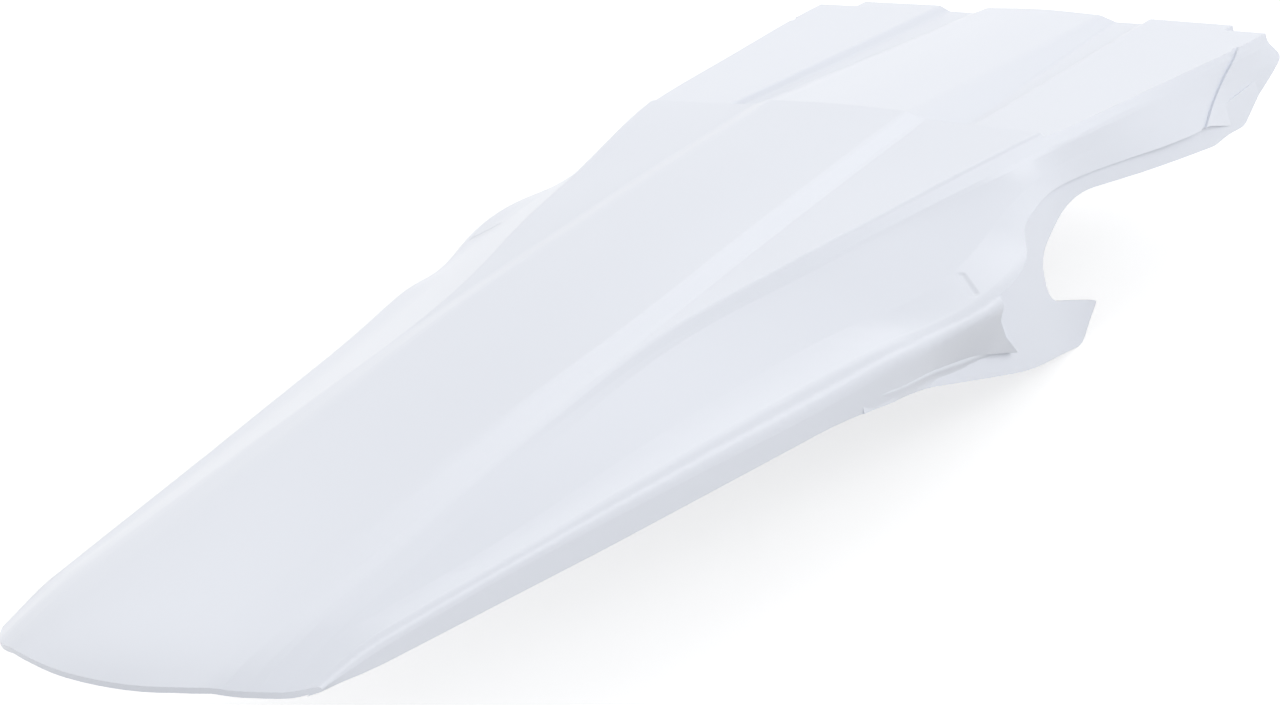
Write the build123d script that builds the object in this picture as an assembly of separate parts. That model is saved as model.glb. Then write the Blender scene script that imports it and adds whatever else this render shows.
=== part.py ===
from build123d import *
from math import hypot, sqrt, tanh
import os

# Rear fender of a motocross motorcycle, one moulding of even wall thickness.
# Drawn with X forward, Y to the left and Z up, from the middle of the step
# edge where the seat ends. Sizes are in millimetres.

# Main sizes
WALL = 2.6                  # thickness of the moulding
BLADE_LENGTH = 495.0        # step edge to the middle of the tail
TONGUE_LENGTH = 161.0       # step edge to the front edge under the seat
STEP_HALF = 109.0           # half width of the step edge

# Blade: heights of the crown at the step, halfway and at the tail
CROWN_Z = (8.6, 10.0, 1.0)

# Shoulders: half width and height at the bulge, halfway and at the tail
BULGE_X = -99.0             # front end of the shoulder bulge
CREST_Y = (151.5, 111.5, 82.0)
CREST_Z = (-24.6, -14.8, -8.6)
SHOULDER_SOFT = 9.0         # rounding of the shoulder
FLARE = 2.2                 # hollow of the flank above the shoulder
SKIRT_SLOPE = 0.12          # inward lean of the skirt at the tail
SKIRT_LEAN = 0.45           # more of it at the bulge's end
SKIRT_LENGTH = 111.0        # run of that lean
SKIRT_DEPTH = 22.0          # height of the skirt before it is trimmed
SKIRT_DEEPER = 34.0         # more of it at the bulge's end
SKIRT_EDGE = ((0.10, 26.8), (0.227, 18.3), (0.553, 16.6), (0.745, 12.8), (0.93, 5.5))

# Tail: its end is turned down and bowed, with round corners
LIP = (6.5, 36.0)           # drop and length of the turned down end
LIP_CORNER = (12.0, 51.0)   # the same at the corners
TAIL_BOW = 11.5             # tail edge ahead of its middle, at TAIL_SPREAD
TAIL_SPREAD = 60.0
TAIL_HALF = CREST_Y[2] + 10
TAIL_CORNER = 33.5          # length of the round corner

# Split character line: two chamfer bands that part at the tip
TIP_X = -219.0
TIP_Y = 57.0
BAND_IN = 9.5               # width of the inner band
BAND_OUT = 5.0              # width of the outer band
BAND_STEP_Y = 48.0          # inner band's lower edge at the step
BAND_GAP = 2.5              # width left between the bands at the tip
BAND_FADE = 6.0             # how far they spread again to fade out at the tail
DROP_STEP = (1.2, 4.2, 6.2, 13.2)
DROP_TIP = (1.4, 4.2, 4.7, 8.2)
DROP_TAIL = (2.0, 3.8, 5.0, 7.4)

# Side wall below the tongue: its top fold, its foot and the foot's waist
FOLD_HALF = (STEP_HALF, STEP_HALF + 11, STEP_HALF + 18.5)
WAIST_X = -5.0
WAIST_HALF = STEP_HALF + 6
FOOT_SPREAD = (0.0, 9.5, 13.5)
FOOT_LENGTH = 130.0
PEAK_X = -46.0              # where the foot is highest
PEAK_Z = -17.6
FOOT_RISE = 0.135           # slopes behind and ahead of the peak
FOOT_FALL = 0.135

# Tongue, at the step and at the front edge
HUMP_Z = (7.6, -15.8)
HUMP_HALF = (40.0, 33.0)
HUMP_CROWN = 1.4
CHANNEL_Z = (-1.6, -20.3)
CHANNEL_IN = (63.0, 40.0)
CHANNEL_OUT = (66.0, 55.0)
SHELF_Z = (0.8, -17.5)
SHELF_IN = (69.0, 60.0)

# Front corners: set back, with a groove in the side wall behind them
CORNER_Y = STEP_HALF - 4    # inner side of the set back
CORNER_X = TONGUE_LENGTH - 7
CORNER_TIP_X = TONGUE_LENGTH - 0.5
CORNER_TIP_Z = -31.0
CORNER_LOW_X = TONGUE_LENGTH - 35
CORNER_LOW_Z = -51.0
GROOVE_TOP = (TONGUE_LENGTH - 23, -10.5)
GROOVE_FOOT = (TONGUE_LENGTH - 77, -42.0)
GROOVE_WIDE = 3.0
GROOVE_DEEP = 1.2

# Recessed side panels with their notches, below the crease of the side wall
CREASE_FRONT_X = CORNER_LOW_X - 28
CREASE_FRONT_Z = -38.0
CREASE_WAIST_Z = -20.5
CREASE_END_Z = -24.0
CREASE_REAR_X = -157.0
PANEL_STEP = 2.2            # depth of the recess
PANEL_FLARE = 18.5          # widening from the waist to the rear
PANEL_FLARE_LENGTH = 95.0
PANEL_REAR_X = -178.0
NOTCH_X = -27.0             # rear side of the notch
NOTCH_TOP_Z = -44.5
NOTCH_LOW_Z = -65.5
LIP_TIP_X = 10.0            # lip below the notch
LIP_TIP_Z = -83.0
LIP_LOW_Z = -97.0

# Screw bosses under the tongue
BOSS_X = 85.0
BOSS_Z = -35.0
BOSS_PITCH_X = 70.0
BOSS_PITCH_Y = 164.0
BOSS_D = 14.0
BOSS_HOLE_D = 6.6
BOSS_HOLE_DEPTH = 16.0

STATIONS = 15               # evenly spaced sections of the hull
SOFT_LEAST = 12.0           # corners softened less than this are sharp inside
REACH = 800.0               # half size of the trimming blocks
DEEP = -150.0               # below every edge


def bow(ends, s):
    """Parabola through three values at s = 0, 0.5 and 1."""
    a, m, b = ends
    return a + s * (4 * m - 3 * a - b) + s * s * (2 * a + 2 * b - 4 * m)


def soft(u, e):
    """The larger of u and 0, with a soft change of width e."""
    return (u + sqrt(u * u + e * e)) / 2


def step_up(u):
    """Smooth rise from 0 to 1."""
    u = min(max(u, 0.0), 1.0)
    return u * u * (3 - 2 * u)


def mix(pair, u):
    return pair[0] + (pair[1] - pair[0]) * u


def foot(x):
    """Half width and height of the side wall's foot, ahead of the bulge."""
    lead = (CREST_Y[0] - WAIST_HALF) / (WAIST_X - BULGE_X)
    spread = bow(FOOT_SPREAD, max(x, 0.0) / FOOT_LENGTH)
    y = WAIST_HALF + lead * soft(WAIST_X - x, 8.0) + spread
    z = PEAK_Z - FOOT_RISE * soft(PEAK_X - x, 6.0) - FOOT_FALL * soft(x - PEAK_X, 10.0)
    return y, z


def crest(x):
    """Half width and height of the shoulder at x."""
    s = (BULGE_X - x) / (BLADE_LENGTH + BULGE_X)
    return bow(CREST_Y, s), bow(CREST_Z, s)


def lip(x, size):
    """Drop of the turned down tail."""
    drop, run = size
    return drop * (soft(run - x - BLADE_LENGTH, 8.0) / run) ** 2


def skirt(x):
    """Half width and height of the skirt's foot, below where it is trimmed."""
    y, z = crest(x) if x <= BULGE_X else foot(x)
    u = soft((min(x, BULGE_X) - BULGE_X) / SKIRT_LENGTH + 1, 0.2)
    ahead = 1 - step_up((x - BULGE_X - 10) / 90)
    deep = SKIRT_DEPTH + SKIRT_DEEPER * u
    return y - deep * (SKIRT_SLOPE + SKIRT_LEAN * u) * ahead, z - deep


def hull_corners(x):
    """Corners of the half section at x, from the crown down, with setbacks."""
    s = max(-x, 0.0) / BLADE_LENGTH
    tip = -TIP_X / BLADE_LENGTH
    u = soft((tip - s) / tip, 0.05)
    v = soft((s - tip) / (1 - tip), 0.05)
    forward = max(x, 0.0) / TONGUE_LENGTH
    top = bow(CROWN_Z, s) - lip(x, LIP)
    fall = mix(SHELF_Z, forward) - SHELF_Z[0]
    drop = [t + (a - t) * u + (b - t) * v for a, t, b in zip(DROP_STEP, DROP_TIP, DROP_TAIL)]
    fade = BAND_FADE * v
    y2 = TIP_Y + (BAND_STEP_Y - TIP_Y) * u - fade / 2
    y1 = y2 - BAND_IN - fade
    y3 = y2 + BAND_GAP + (STEP_HALF - BAND_STEP_Y - BAND_GAP) * u + fade
    y3 += bow(FOLD_HALF, forward) - STEP_HALF
    y4 = y3 + BAND_OUT * max(1 - forward, 0.06) + fade
    corner = lip(x, LIP_CORNER)
    z3 = top - drop[2] + fall - (corner - lip(x, LIP)) / 2
    z4 = top - drop[3] + fall - (corner - lip(x, LIP))
    y6, z6 = crest(x) if x <= BULGE_X else foot(x)
    z6 -= corner
    y7, z7 = skirt(x)
    longer = 0.6 * step_up((x - BULGE_X - 20) / 60)
    y6, z6 = y6 + longer * (y6 - y4), z6 + longer * (z6 - z4)
    y7 += longer * (y6 - y4)
    bulge = step_up((x + BLADE_LENGTH) / 150) * step_up((-20 - x) / 60)
    part = 0.5 + 0.2 * bulge
    y5 = y4 + part * (y6 - y4)
    z5 = z4 + part * (z6 - z4) - FLARE * bulge
    crease = 1.2 + 6.0 * v
    return [
        ((0.0, top), 20.0),
        ((y1, top - drop[0]), crease),
        ((y2, top - drop[1]), crease),
        ((y3, z3), crease),
        ((y4, z4), crease),
        ((y5, z5), 9.0),
        ((y6, z6), SHOULDER_SOFT),
        ((y7, min(z7, z6 - 20) - corner), 0.0),
        ((y7 + 0.5, DEEP), 0.0),
    ]


def both_sides(half):
    """Closed outline from a half section, mirrored about its first corner."""
    left = [((-p[0], p[1]), r) for p, r in half[:0:-1]]
    return left + half


def inset(corners, t):
    """Closed outline moved inward by t (clockwise order seen from behind)."""
    pts = [p for p, r in corners]
    n = len(pts)
    moved = []
    for i in range(n):
        a, b, c = pts[i - 1], pts[i], pts[(i + 1) % n]
        d1 = (b[0] - a[0], b[1] - a[1])
        d2 = (c[0] - b[0], c[1] - b[1])
        l1, l2 = hypot(*d1), hypot(*d2)
        n1 = (d1[1] / l1, -d1[0] / l1)
        n2 = (d2[1] / l2, -d2[0] / l2)
        k = 1 + n1[0] * n2[0] + n1[1] * n2[1]
        q = (b[0] + t * (n1[0] + n2[0]) / k, b[1] + t * (n1[1] + n2[1]) / k)
        turn = t * (n1[0] * n2[1] - n1[1] * n2[0]) / k
        r = corners[i][1]
        moved.append((q, max(r + turn, 0.4) if r > SOFT_LEAST else 0.0))
    return moved


def rounded(corners, place):
    """Face of a closed outline; each corner is softened over its setback."""
    pts = [p for p, r in corners]
    n = len(pts)
    ends = []
    for i in range(n):
        a, b, c = pts[i - 1], pts[i], pts[(i + 1) % n]
        l1 = hypot(b[0] - a[0], b[1] - a[1])
        l2 = hypot(c[0] - b[0], c[1] - b[1])
        r = min(corners[i][1], 0.45 * l1, 0.45 * l2)
        start = (b[0] + (a[0] - b[0]) * r / l1, b[1] + (a[1] - b[1]) * r / l1)
        stop = (b[0] + (c[0] - b[0]) * r / l2, b[1] + (c[1] - b[1]) * r / l2)
        ends.append((start, b, stop, r))
    edges = []
    for i in range(n):
        start, b, stop, r = ends[i]
        if r > 0:
            edges.append(Edge.make_bezier(place(start), place(b), place(stop)))
        after = ends[(i + 1) % n][0]
        edges.append(Edge.make_line(place(stop), place(after)))
    return Face(Wire(edges))


def across(x):
    """Puts an outline of (y, z) into the plane at x."""
    return lambda p: Vector(x, p[0], p[1])


def side(p):
    """Puts an outline of (x, z) into the far side plane."""
    return Vector(p[0], REACH, p[1])


def hull(t):
    """Outer body of blade and side walls, moved inward by t and open below."""
    first, last = -BLADE_LENGTH - 10, TONGUE_LENGTH + 39
    faces = []
    for i in range(STATIONS):
        x = first + (last - first) * i / (STATIONS - 1)
        outline = both_sides(hull_corners(x))
        if t > 0:
            outline = inset(outline, t)
            low = DEEP - 10
            outline[0] = ((outline[0][0][0], low), 0.0)
            outline[-1] = ((outline[-1][0][0], low), 0.0)
        faces.append(rounded(outline, across(x)))
    return loft(faces)


def tongue_space(t):
    """Space above the tongue, grown by t."""
    faces = []
    for x in (-t, TONGUE_LENGTH + 60):
        u = x / TONGUE_LENGTH
        hump = mix(HUMP_Z, u)
        shelf = mix(SHELF_Z, u)
        half = [
            ((0.0, hump), 15.0),
            ((mix(HUMP_HALF, u), hump - HUMP_CROWN), 5.0),
            ((mix(CHANNEL_IN, u), mix(CHANNEL_Z, u)), 2.0),
            ((mix(CHANNEL_OUT, u), mix(CHANNEL_Z, u)), 1.2),
            ((mix(SHELF_IN, u), shelf), 1.2),
            ((150.0, shelf - 1.2), 0.0),
            ((150.0, 90.0), 0.0),
        ]
        outline = both_sides(half)
        faces.append(rounded(inset(outline, t) if t > 0 else outline, across(x)))
    return loft(faces, ruled=True)


def trimmed(corners, t=0.0):
    """Block that keeps what lies within a side view outline, less t."""
    face = rounded(inset(corners, t) if t > 0 else corners, side)
    return extrude(face, amount=2 * REACH, dir=(0, -1, 0))


def wall_outline(ahead=0.0):
    """Side view of blade and side walls: they end above the recessed panel."""
    front = TONGUE_LENGTH + 2 + ahead
    return [
        ((-REACH, 100), 0.0),
        ((front, 100), 0.0),
        ((front, CORNER_TIP_Z), 0.0),
        ((CORNER_LOW_X, CORNER_LOW_Z), 3.0),
        ((CREASE_FRONT_X, CREASE_FRONT_Z), 3.0),
        ((WAIST_X - 3, CREASE_WAIST_Z), 8.0),
        ((PEAK_X, PEAK_Z), 8.0),
        ((BULGE_X + 0.5, CREASE_END_Z), 0.0),
        ((BULGE_X + 2.5, CREASE_END_Z - 12), 5.0),
        ((BULGE_X + 30, CREASE_END_Z - 43.5), 0.0),
        ((BULGE_X - 1, CREASE_END_Z - 29), 8.0),
        ((BULGE_X - 36, CREASE_END_Z - 19), 8.0),
        ((CREASE_REAR_X, CREASE_END_Z - 15), 0.0),
        ((CREASE_REAR_X - 10, LIP_LOW_Z), 0.0),
        ((-REACH, LIP_LOW_Z), 0.0),
    ]


def skirt_edge():
    """Corners of the skirt's lower edge, from the bulge to the tail."""
    corners = []
    for s, height in SKIRT_EDGE:
        x = BULGE_X - s * (BLADE_LENGTH + BULGE_X)
        corners.append(((x, crest(x)[1] - lip(x, LIP_CORNER) - height), 15.0))
    return corners


def edge_outline():
    """Side view of the lower edge with the notch."""
    tail = skirt_edge()
    return [
        ((-REACH, 100), 0.0),
        ((TONGUE_LENGTH, 100), 0.0),
        ((TONGUE_LENGTH, CORNER_TIP_Z), 3.0),
        ((CORNER_LOW_X, CORNER_LOW_Z), 3.0),
        ((CORNER_LOW_X - 13, CORNER_LOW_Z + 1.5), 3.0),
        ((CORNER_LOW_X - 24, CORNER_LOW_Z + 1), 3.0),
        ((NOTCH_X + 35, NOTCH_TOP_Z + 14), 14.0),
        ((NOTCH_X, NOTCH_TOP_Z), 12.0),
        ((NOTCH_X + 0.5, NOTCH_LOW_Z), 9.0),
        ((LIP_TIP_X, LIP_TIP_Z), 2.5),
        ((LIP_TIP_X - 16.5, LIP_LOW_Z), 5.0),
        ((LIP_TIP_X - 66, LIP_LOW_Z + 13.5), 14.0),
        *tail,
        ((-REACH, tail[-1][0][1] - 4), 0.0),
    ]


def front_corner():
    """What is taken off the left front corner, outside CORNER_Y."""
    outline = [
        ((CORNER_X, 60), 0.0),
        ((REACH, 60), 0.0),
        ((REACH, -100), 0.0),
        ((CORNER_LOW_X + 8, -100), 0.0),
        ((CORNER_LOW_X, CORNER_LOW_Z), 0.0),
        ((CORNER_TIP_X, CORNER_TIP_Z), 4.0),
        ((CORNER_X, CORNER_TIP_Z + 10), 3.0),
    ]
    return extrude(rounded(outline, side), amount=REACH - CORNER_Y, dir=(0, -1, 0))


def grooves(skin):
    """Strips across the side walls, as deep as they lie outside the skin."""
    run = (GROOVE_FOOT[0] - GROOVE_TOP[0], GROOVE_FOOT[1] - GROOVE_TOP[1])
    k = GROOVE_WIDE / 2 / hypot(*run)
    a, b = -run[1] * k, run[0] * k
    outline = [
        ((GROOVE_TOP[0] - a, GROOVE_TOP[1] - b), 0.0),
        ((GROOVE_TOP[0] + a, GROOVE_TOP[1] + b), 0.0),
        ((GROOVE_FOOT[0] + a, GROOVE_FOOT[1] + b), 0.0),
        ((GROOVE_FOOT[0] - a, GROOVE_FOOT[1] - b), 0.0),
    ]
    return trimmed(outline) - skin


def panel_half(x):
    """Half width of the recessed panels at x."""
    back = tanh(soft(WAIST_X - x, 10.0) / PANEL_FLARE_LENGTH)
    spread = bow(FOOT_SPREAD, max(x, 0.0) / FOOT_LENGTH)
    return WAIST_HALF - PANEL_STEP + PANEL_FLARE * back + spread


def panel(t, lift=0.0):
    """Block whose sides are the recessed panels, moved inward by t, raised by lift."""
    low = DEEP - 10 if t > 0 else DEEP
    front = TONGUE_LENGTH + 20
    count = 9
    places = [PANEL_REAR_X + (front - PANEL_REAR_X) * i / (count - 1) for i in range(count)]
    left = Edge.make_spline([Vector(x, panel_half(x) - t, low) for x in places])
    right = left.mirror(Plane.XZ)
    ends = [Edge.make_line(left @ i, right @ i) for i in (0, 1)]
    face = Face(Wire([left, ends[1], right, ends[0]]))
    block = extrude(face, amount=-2 * DEEP, dir=(0, 0, 1))
    top = [
        ((-REACH, -30 + lift), 0.0),
        ((PANEL_REAR_X, -29 + lift), 5.0),
        ((BULGE_X, CREASE_END_Z + 1.5 + lift), 5.0),
        ((PEAK_X, PEAK_Z + 1.5 + lift), 5.0),
        ((WAIST_X - 3, CREASE_WAIST_Z + 1.5 + lift), 5.0),
        ((CREASE_FRONT_X, CREASE_FRONT_Z + 3 + lift), 5.0),
        ((REACH, CREASE_FRONT_Z + 3 + lift), 0.0),
        ((REACH, -300), 0.0),
        ((-REACH, -300), 0.0),
    ]
    return block & trimmed(top)


def tail_outline():
    """Block that trims the tail to its bowed edge with round corners."""
    tail = -BLADE_LENGTH
    start = tail + TAIL_BOW
    end = start + TAIL_CORNER
    arc = ThreePointArc((start, -TAIL_SPREAD), (tail, 0), (start, TAIL_SPREAD))
    pole = Vector(start + 7.5, TAIL_HALF - 12, 0)
    left = Edge.make_bezier(Vector(start, TAIL_SPREAD, 0), pole, Vector(end, TAIL_HALF, 0))
    right = left.mirror(Plane.XZ)
    wide = [(end, TAIL_HALF), (end + 20, REACH), (REACH, REACH)]
    back = [(x, -y) for x, y in reversed(wide)]
    sides = Polyline(*wide, *back)
    face = Face(Wire([arc.edge(), left, right] + list(sides.edges())))
    return extrude(face.moved(Pos(0, 0, -REACH)), amount=2 * REACH, dir=(0, 0, 1))


def shell():
    """The moulding: outer body less the inner one."""
    body = (hull(0) - tongue_space(0)) & trimmed(wall_outline())
    body = (body + panel(0)) & trimmed(edge_outline()) & tail_outline()
    corner = front_corner()
    body = body - corner - corner.mirror(Plane.XZ) - grooves(hull(GROOVE_DEEP))
    room = trimmed(wall_outline(60.0), WALL) + panel(WALL, 30.0)
    hollow = (hull(WALL) - tongue_space(WALL)) & room
    return body - hollow - panel(WALL, 0.5)


def bosses():
    """Four blind screw bosses that stand down from the tongue."""
    at = [
        Pos(BOSS_X + i * BOSS_PITCH_X / 2, j * BOSS_PITCH_Y / 2, BOSS_Z)
        for i in (-1, 1)
        for j in (-1, 1)
    ]
    posts = Compound([p * extrude(Circle(BOSS_D / 2), amount=60) for p in at])
    holes = Compound([p * extrude(Circle(BOSS_HOLE_D / 2), amount=BOSS_HOLE_DEPTH) for p in at])
    return posts - tongue_space(WALL / 2) - holes


fender = shell() + bosses()
fender = fender.moved(Pos(-BOSS_X, 0, -BOSS_Z))
os.makedirs("parts", exist_ok=True)
export_step(fender, "parts/rear_fender.step")
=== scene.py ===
import bpy
from mathutils import Matrix, Vector


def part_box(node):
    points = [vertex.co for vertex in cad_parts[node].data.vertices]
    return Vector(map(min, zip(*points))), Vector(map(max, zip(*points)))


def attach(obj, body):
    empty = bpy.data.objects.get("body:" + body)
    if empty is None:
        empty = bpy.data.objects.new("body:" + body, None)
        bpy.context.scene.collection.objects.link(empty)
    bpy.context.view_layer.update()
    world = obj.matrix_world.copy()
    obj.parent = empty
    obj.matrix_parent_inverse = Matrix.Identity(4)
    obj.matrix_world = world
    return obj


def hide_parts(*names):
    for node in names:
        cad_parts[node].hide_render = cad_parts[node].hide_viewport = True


# Glossy white rear fender on a pale studio floor. Lengths are in metres, in
# the part's own frame: X forward, Y to the left, Z up.

NODE = "rear_fender"
SIDES = (("right", -1), ("left", 1))

# Camera: place, viewing direction and up direction. The focal length is in
# pixels, like the photograph's width; the sensor's width is in millimetres.
CAMERA_AT = (-1.5744, -1.2672, 0.8126)
CAMERA_LOOK = (0.6615, 0.6313, -0.4048)
CAMERA_UP = (0.4491, 0.0988, 0.8880)
FOCAL_PIXELS = 4700
PHOTO_WIDTH = 1280
SENSOR = 36.0

# White plastic, and how its gloss and skin vary
WHITE = (0.785, 0.815, 0.885, 1.0)
PLASTIC_IOR = 1.49
GLOSS = (0.26, 0.34)            # smoothest and roughest of the outer skin
GLOSS_SCALE = 9.0               # soft patches, per metre
GLOSS_DETAIL = 3.0
UNDERSIDE_ROUGHNESS = 0.55
UNDERSIDE_FACING = (-0.75, -0.55)   # upward share of the normal: all dull, all glossy
SKIN_SCALE = 420.0              # orange peel of the moulding, per metre
SKIN_DETAIL = 2.0
SKIN_DEPTH = 0.00002
SKIN_STRENGTH = 0.35

# Small fold in each flank, above and behind the notch; given on the left side
FOLD_FROM = (-0.1820, 0.1292, 0.0178)
FOLD_ALONG = (-0.533, 0.783, -0.318)
FOLD_LENGTH = 0.0125
FOLD_HALF = 0.0028
FOLD_DEPTH = 0.0006

# Tail corners: the lip comes down and the skirt's lower end comes up to it
TAIL_START_X = -0.515
TAIL_RUN = 0.036
TAIL_FROM_Y = 0.066
TAIL_TO_Y = 0.084
TAIL_DROP = 0.0028
TAIL_RISE = 0.0023
TAIL_LOW_Z = 0.0170             # the skirt's lower edge, which rises
TAIL_LIP_Z = 0.0226             # the lip's underside, which drops

# Probes that find the side's surface, its lower edge and the skirt's foot
PROBE_Y = 0.30                  # they start outside the part
PROBE_STEP = 0.00025            # height between two probes
EDGE_CLEAR = 0.0008             # height above the lower edge at which the panel is probed
FOOT_STEP = 0.0004              # jump in half width that marks the skirt's foot
FOOT_REACH = 0.026              # highest place of the foot above the lower edge

# Blend strip: the skirt's foot passes into the side panel behind the notch
BLEND_REAR_X = -0.262
BLEND_FRONT_X = -0.160
BLEND_START_X = -0.247          # where the panel's own step begins
BLEND_RUN = 0.050               # length over which the strip sinks to the panel
BLEND_STATIONS = 35
BLEND_ROWS = 9
BLEND_TALL = 0.0065             # strip height behind the panel's step
BLEND_LEAN = 0.40               # inward lean of the skirt's side
BLEND_ROUND = (0.95, 0.65, 0.05)    # hollow's share of the height: rear, middle, front
BLEND_PROUD = 0.0003            # how far the strip stands out, or lies inside

# Tuck: the skirt's foot draws in, so that it stands only a little over the panel
TUCK_FRONT_X = -0.152
TUCK_RUN = 0.035                # length over which the tuck sets in
TUCK_HEIGHT = 0.024             # height over which it fades up the skirt
TUCK_REST = 0.0030              # step that is left at the foot
TUCK_CLEAR = 0.0003             # points this near to the panel stay in place

# Floor: its grey, and the glow that lifts it to white for the camera
FLOOR_SIZE = 30.0
FLOOR_GREY = 0.57
FLOOR_GLOW = 0.66

# Studio: bright sweep near the horizon, dimmer ceiling, brighter far side
SKY = (1.0, 1.0, 1.0, 1.0)
HORIZON = 1.06
CEILING = 0.505
FAR_SIDE = (0.45, 0.89, 0.0)
FAR_SHARE = 0.17

# Lamps: name, place, width and height, watts
LAMPS = (
    ("key", (0.2, 1.6, 1.8), (1.6, 1.6), 8.0),
    ("fill", (0.7, -2.1, 1.0), (2.0, 1.4), 19.5),
    ("tail", (-2.0, -0.9, 0.7), (1.6, 1.0), 3.0),
    ("rim", (1.2, 0.7, 1.5), (1.0, 1.0), 4.5),
)


def smooth(u):
    """Smooth rise from 0 to 1."""
    u = min(max(u, 0.0), 1.0)
    return u * u * (3 - 2 * u)


def node_tools(tree):
    """Node maker and linker of a node tree."""

    def add(kind, **values):
        made = tree.nodes.new(kind)
        for key, value in values.items():
            setattr(made, key, value)
        return made

    return add, tree.links.new


def new_material(name):
    """Empty node material, with its node maker and linker."""
    material = bpy.data.materials.new(name)
    material.use_nodes = True
    material.node_tree.nodes.clear()
    add, link = node_tools(material.node_tree)
    return material, add, link


def noise(add, link, place, scale, detail):
    """Noise over the object's own coordinates."""
    texture = add("ShaderNodeTexNoise")
    texture.inputs["Scale"].default_value = scale
    texture.inputs["Detail"].default_value = detail
    link(place, texture.inputs["Vector"])
    return texture.outputs["Fac"]


def skin_roughness(add, link, place):
    """Roughness in soft patches on the outer skin, and dull on the underside."""
    outer = add("ShaderNodeMapRange")
    outer.inputs["To Min"].default_value = GLOSS[0]
    outer.inputs["To Max"].default_value = GLOSS[1]
    link(noise(add, link, place, GLOSS_SCALE, GLOSS_DETAIL), outer.inputs["Value"])

    facing = add("ShaderNodeNewGeometry")
    split = add("ShaderNodeSeparateXYZ")
    link(facing.outputs["True Normal"], split.inputs["Vector"])
    below = add("ShaderNodeMapRange")
    below.inputs["From Min"].default_value = UNDERSIDE_FACING[0]
    below.inputs["From Max"].default_value = UNDERSIDE_FACING[1]
    below.inputs["To Min"].default_value = 1.0
    below.inputs["To Max"].default_value = 0.0
    link(split.outputs["Z"], below.inputs["Value"])

    rough = add("ShaderNodeMix", data_type="FLOAT")
    rough.inputs["B"].default_value = UNDERSIDE_ROUGHNESS
    link(below.outputs["Result"], rough.inputs["Factor"])
    link(outer.outputs["Result"], rough.inputs["A"])
    return rough.outputs["Result"]


def orange_peel(add, link, place):
    """Faint unevenness of the moulded skin, as a normal."""
    bump = add("ShaderNodeBump")
    bump.inputs["Strength"].default_value = SKIN_STRENGTH
    bump.inputs["Distance"].default_value = SKIN_DEPTH
    link(noise(add, link, place, SKIN_SCALE, SKIN_DETAIL), bump.inputs["Height"])
    return bump.outputs["Normal"]


def flank_fold(add, link, place, normal):
    """Shallow hollow along a short line in each flank, on top of the given normal."""
    split = add("ShaderNodeSeparateXYZ")
    link(place, split.inputs["Vector"])
    half = add("ShaderNodeMath", operation="ABSOLUTE")
    link(split.outputs["Y"], half.inputs[0])
    mirrored = add("ShaderNodeCombineXYZ")
    link(split.outputs["X"], mirrored.inputs["X"])
    link(half.outputs["Value"], mirrored.inputs["Y"])
    link(split.outputs["Z"], mirrored.inputs["Z"])

    offset = add("ShaderNodeVectorMath", operation="SUBTRACT")
    offset.inputs[1].default_value = FOLD_FROM
    link(mirrored.outputs["Vector"], offset.inputs[0])
    run = add("ShaderNodeVectorMath", operation="DOT_PRODUCT")
    run.inputs[1].default_value = FOLD_ALONG
    link(offset.outputs["Vector"], run.inputs[0])
    held = add("ShaderNodeClamp")
    held.inputs["Max"].default_value = FOLD_LENGTH
    link(run.outputs["Value"], held.inputs["Value"])
    nearest = add("ShaderNodeVectorMath", operation="SCALE")
    nearest.inputs[0].default_value = FOLD_ALONG
    link(held.outputs["Result"], nearest.inputs["Scale"])
    apart = add("ShaderNodeVectorMath", operation="DISTANCE")
    link(offset.outputs["Vector"], apart.inputs[0])
    link(nearest.outputs["Vector"], apart.inputs[1])

    height = add("ShaderNodeMapRange", interpolation_type="SMOOTHSTEP")
    height.inputs["From Max"].default_value = FOLD_HALF
    link(apart.outputs["Value"], height.inputs["Value"])
    bump = add("ShaderNodeBump")
    bump.inputs["Distance"].default_value = FOLD_DEPTH
    link(height.outputs["Result"], bump.inputs["Height"])
    link(normal, bump.inputs["Normal"])
    return bump.outputs["Normal"]


def white_plastic():
    """Gloss white plastic: soft gloss patches, faint orange peel, dull underside."""
    material, add, link = new_material("white_plastic")
    out = add("ShaderNodeOutputMaterial")
    shader = add("ShaderNodeBsdfPrincipled")
    shader.inputs["Base Color"].default_value = WHITE
    shader.inputs["IOR"].default_value = PLASTIC_IOR
    place = add("ShaderNodeTexCoord").outputs["Object"]
    normal = flank_fold(add, link, place, orange_peel(add, link, place))
    link(skin_roughness(add, link, place), shader.inputs["Roughness"])
    link(normal, shader.inputs["Normal"])
    link(shader.outputs["BSDF"], out.inputs["Surface"])
    return material


def floor_material():
    """Pale floor that the camera and reflections see as white, with its shadow."""
    material, add, link = new_material("floor")
    out = add("ShaderNodeOutputMaterial")
    both = add("ShaderNodeAddShader")
    matt = add("ShaderNodeBsdfDiffuse")
    matt.inputs["Color"].default_value = (FLOOR_GREY, FLOOR_GREY, FLOOR_GREY, 1.0)
    glow = add("ShaderNodeEmission")
    path = add("ShaderNodeLightPath")
    seen = add("ShaderNodeMath", operation="MAXIMUM")
    link(path.outputs["Is Camera Ray"], seen.inputs[0])
    link(path.outputs["Is Glossy Ray"], seen.inputs[1])
    power = add("ShaderNodeMath", operation="MULTIPLY")
    power.inputs[1].default_value = FLOOR_GLOW
    link(seen.outputs["Value"], power.inputs[0])
    link(power.outputs["Value"], glow.inputs["Strength"])
    link(matt.outputs["BSDF"], both.inputs[0])
    link(glow.outputs["Emission"], both.inputs[1])
    link(both.outputs["Shader"], out.inputs["Surface"])
    return material


def place_piece(piece, material):
    """Puts a finished piece on the part's body, in the given plastic."""
    bpy.context.scene.collection.objects.link(piece)
    piece.data.materials.clear()
    piece.data.materials.append(material)
    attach(piece, "root")


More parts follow.
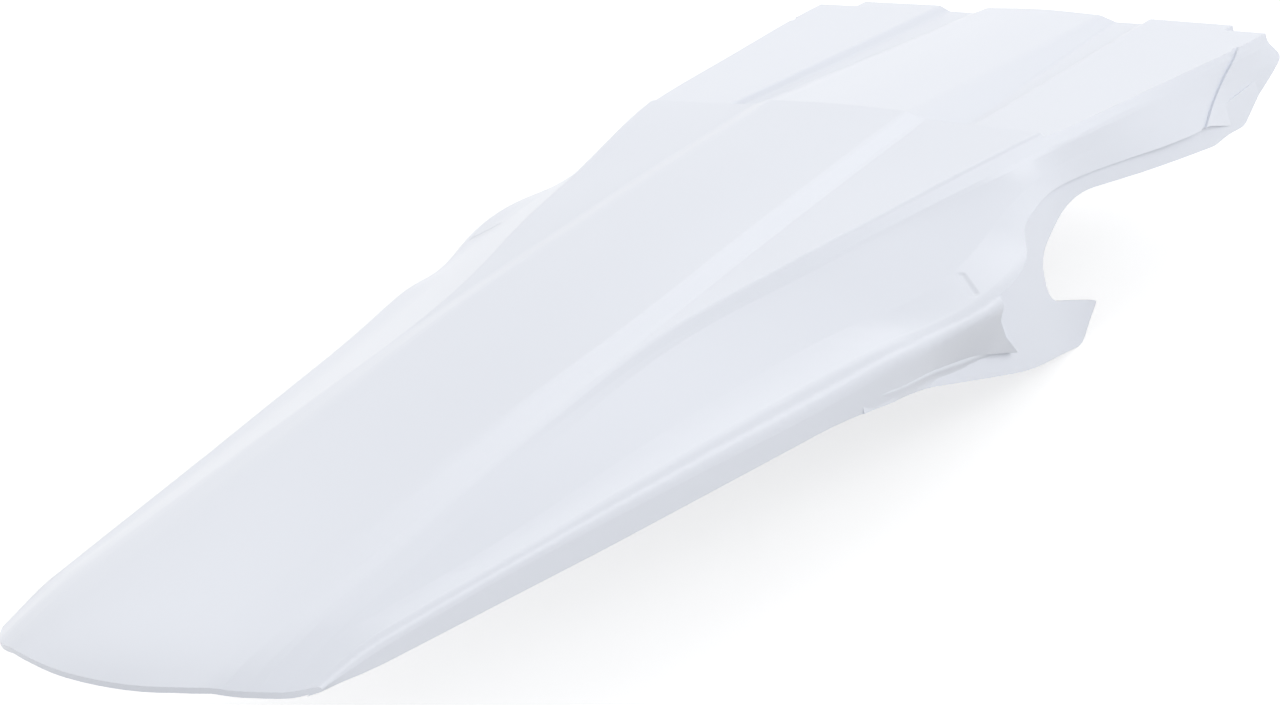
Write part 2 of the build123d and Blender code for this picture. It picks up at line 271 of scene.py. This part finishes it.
def half_width(shape, x, z):
    """Half width of the shape's left side at x and z, or None below its edge."""
    back = shape.matrix_world.inverted()
    start = back @ Vector((x, PROBE_Y, z))
    inward = back.to_3x3() @ Vector((0, -1, 0))
    hit, where, _, _ = shape.ray_cast(start, inward, distance=PROBE_Y)
    return (shape.matrix_world @ where).y if hit else None


def lower_edge(shape, x):
    """Height of the left side's lower edge at x."""
    z = 0.0
    while half_width(shape, x, z - PROBE_STEP):
        z -= PROBE_STEP
    return z


def foot_height(shape, x, low):
    """Height of the skirt's foot at x, found where the side steps out from the panel."""
    z = low + EDGE_CLEAR
    inner = half_width(shape, x, z)
    while x > BLEND_START_X and z < low + FOOT_REACH:
        z += PROBE_STEP
        outer = half_width(shape, x, z)
        if outer - inner > FOOT_STEP:
            return z + PROBE_STEP
        inner = outer
    return low + BLEND_TALL


def side_at(shape, x):
    """Lower edge and foot height at x, with the half widths at the foot and on the panel."""
    low = lower_edge(shape, x)
    top = foot_height(shape, x, low)
    return low, top, half_width(shape, x, top), half_width(shape, x, low + EDGE_CLEAR)


def foot_line(shape):
    """The skirt's foot along the panel: x, its height, its half width and the panel's."""
    stretch = (BLEND_FRONT_X - BLEND_START_X) / (BLEND_STATIONS - 1)
    places = [BLEND_START_X + stretch * i for i in range(1, BLEND_STATIONS)]
    return [(x, *side_at(shape, x)[1:]) for x in places]


def between(line, x):
    """Values of the line at x, on straight stretches that run on past its ends."""
    after = 1
    while after < len(line) - 1 and line[after][0] < x:
        after += 1
    first, last = line[after - 1], line[after]
    share = (x - first[0]) / (last[0] - first[0])
    return [u + (v - u) * share for u, v in zip(first[1:], last[1:])]


def tuck(line, p):
    """How far a point of the skirt's foot draws in towards the middle."""
    if not BLEND_START_X < p.x < TUCK_FRONT_X:
        return 0.0
    top, foot, panel = between(line, p.x)
    if abs(p.y) < panel + TUCK_CLEAR or p.z < top - EDGE_CLEAR:
        return 0.0
    near = smooth(1 - (p.z - top) / TUCK_HEIGHT)
    return max(foot - panel - TUCK_REST, 0.0) * near * smooth((p.x - BLEND_START_X) / TUCK_RUN)


def tail_drop(p):
    """How far a point near the tail's corners comes down, or up where it is negative."""
    rear = smooth((TAIL_START_X - p.x) / TAIL_RUN)
    outer = smooth((abs(p.y) - TAIL_FROM_Y) / (TAIL_TO_Y - TAIL_FROM_Y))
    above = min(max((p.z - TAIL_LOW_Z) / (TAIL_LIP_Z - TAIL_LOW_Z), 0.0), 1.0)
    return (TAIL_DROP * above - TAIL_RISE * (1 - above)) * rear * outer


def moulding(solid, material):
    """The moulding, with closed tail corners and the skirts' feet tucked in; stands for the solid."""
    mesh = solid.data.copy()
    piece = bpy.data.objects.new("moulding", mesh)
    piece.matrix_world = solid.matrix_world.copy()
    back = solid.matrix_world.inverted()
    line = foot_line(solid)
    for vertex in mesh.vertices:
        p = solid.matrix_world @ vertex.co
        inward = tuck(line, p)
        p.z -= tail_drop(p)
        p.y -= inward if p.y > 0 else -inward
        vertex.co = back @ p
    place_piece(piece, material)
    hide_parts(NODE)
    bpy.context.view_layer.update()
    return piece


def hollow_share(x):
    """Share of the strip's height that its hollow takes at x."""
    ahead = (x - BLEND_START_X) / (BLEND_FRONT_X - BLEND_START_X)
    rear, middle, front = BLEND_ROUND
    if ahead < 0.5:
        return rear + (middle - rear) * smooth(2 * ahead)
    return middle + (front - middle) * smooth(2 * ahead - 1)


def blend_row(shape, side, x):
    """One station of the blend strip; its first row and its ends lie inside the shape."""
    low, top, foot, panel = side_at(shape, x)
    sunk = smooth((x - BLEND_START_X) / BLEND_RUN)
    hollow = hollow_share(x)
    out = smooth((x - BLEND_REAR_X) / (BLEND_START_X - BLEND_REAR_X))
    row = []
    for j in range(BLEND_ROWS):
        u = j / (BLEND_ROWS - 1)
        inward = smooth(u / hollow)
        skirt = max(foot - BLEND_LEAN * (top - low) * u, panel)
        rounded = panel + (foot - panel) * (1 - inward)
        y = skirt + (rounded - skirt) * sunk
        shown = out * min(j, 1) * (1 - sunk * inward)
        y += BLEND_PROUD * (2 * shown - 1)
        row.append((x, side * y, top + (low - top) * u))
    return row


def skirt_blend(shape, name, side, material):
    """Strip that leads the skirt's foot over into the recessed panel on one side."""
    stretch = (BLEND_FRONT_X - BLEND_REAR_X) / (BLEND_STATIONS - 1)
    points = []
    for i in range(BLEND_STATIONS):
        points += blend_row(shape, side, BLEND_REAR_X + stretch * i)
    faces = []
    for i in range(BLEND_STATIONS - 1):
        for j in range(BLEND_ROWS - 1):
            corner = i * BLEND_ROWS + j
            quad = (corner, corner + BLEND_ROWS, corner + BLEND_ROWS + 1, corner + 1)
            faces.append(quad if side > 0 else quad[::-1])
    mesh = bpy.data.meshes.new("skirt_blend")
    mesh.from_pydata(points, [], faces)
    mesh.shade_smooth()
    place_piece(bpy.data.objects.new(f"skirt_blend_{name}", mesh), material)


def floor(height):
    """Flat floor that just meets the lowest edge."""
    mesh = bpy.data.meshes.new("floor")
    half = FLOOR_SIZE / 2
    corners = [(x * half, y * half, height) for x, y in ((-1, -1), (1, -1), (1, 1), (-1, 1))]
    mesh.from_pydata(corners, [], [(0, 1, 2, 3)])
    mesh.materials.append(floor_material())
    sheet = bpy.data.objects.new("floor", mesh)
    bpy.context.scene.collection.objects.link(sheet)


def softbox(name, at, size, power, target):
    """Large area lamp that faces the target."""
    lamp = bpy.data.lights.new(name, "AREA")
    lamp.shape = "RECTANGLE"
    lamp.size, lamp.size_y = size
    lamp.energy = power
    holder = bpy.data.objects.new(name, lamp)
    bpy.context.scene.collection.objects.link(holder)
    holder.location = at
    holder.rotation_euler = (Vector(target) - Vector(at)).to_track_quat("-Z", "Y").to_euler()


def world_light():
    """Light tent: its strength falls from the horizon up and grows to the far side."""
    world = bpy.data.worlds.new("studio")
    bpy.context.scene.world = world
    world.use_nodes = True
    add, link = node_tools(world.node_tree)
    sky = world.node_tree.nodes["Background"]
    sky.inputs["Color"].default_value = SKY
    place = add("ShaderNodeTexCoord").outputs["Generated"]

    split = add("ShaderNodeSeparateXYZ")
    link(place, split.inputs["Vector"])
    height = add("ShaderNodeMapRange", interpolation_type="SMOOTHSTEP")
    height.inputs["To Min"].default_value = HORIZON
    height.inputs["To Max"].default_value = CEILING
    link(split.outputs["Z"], height.inputs["Value"])

    far = add("ShaderNodeVectorMath", operation="DOT_PRODUCT")
    far.inputs[1].default_value = FAR_SIDE
    link(place, far.inputs[0])
    share = add("ShaderNodeMapRange")
    share.inputs["From Min"].default_value = -1.0
    share.inputs["To Min"].default_value = 1.0 - FAR_SHARE
    share.inputs["To Max"].default_value = 1.0 + FAR_SHARE
    link(far.outputs["Value"], share.inputs["Value"])

    both = add("ShaderNodeMath", operation="MULTIPLY")
    link(height.outputs["Result"], both.inputs[0])
    link(share.outputs["Result"], both.inputs[1])
    link(both.outputs["Value"], sky.inputs["Strength"])


def camera():
    """Camera at the photograph's viewing angle."""
    look = Vector(CAMERA_LOOK).normalized()
    right = look.cross(Vector(CAMERA_UP)).normalized()
    up = right.cross(look)
    data = bpy.data.cameras.new("camera")
    data.sensor_width = SENSOR
    data.lens = FOCAL_PIXELS / PHOTO_WIDTH * SENSOR
    holder = bpy.data.objects.new("camera", data)
    bpy.context.scene.collection.objects.link(holder)
    turn = Matrix((right, up, -look)).transposed().to_4x4()
    holder.matrix_world = Matrix.Translation(CAMERA_AT) @ turn
    bpy.context.scene.camera = holder


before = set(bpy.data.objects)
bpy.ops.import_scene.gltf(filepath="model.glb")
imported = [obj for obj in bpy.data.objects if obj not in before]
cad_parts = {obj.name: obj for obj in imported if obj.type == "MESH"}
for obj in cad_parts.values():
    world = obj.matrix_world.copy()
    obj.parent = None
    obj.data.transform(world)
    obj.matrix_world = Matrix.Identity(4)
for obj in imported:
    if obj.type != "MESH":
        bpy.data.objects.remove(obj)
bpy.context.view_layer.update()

plastic = white_plastic()
body = moulding(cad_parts[NODE], plastic)
for side_name, direction in SIDES:
    skirt_blend(body, side_name, direction, plastic)

low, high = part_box(NODE)
middle = [(a + b) / 2 for a, b in zip(low, high)]
floor(low[2])
for lamp_name, at, size, power in LAMPS:
    softbox(lamp_name, at, size, power, middle)
world_light()
camera()
bpy.context.scene.view_settings.view_transform = "Standard"
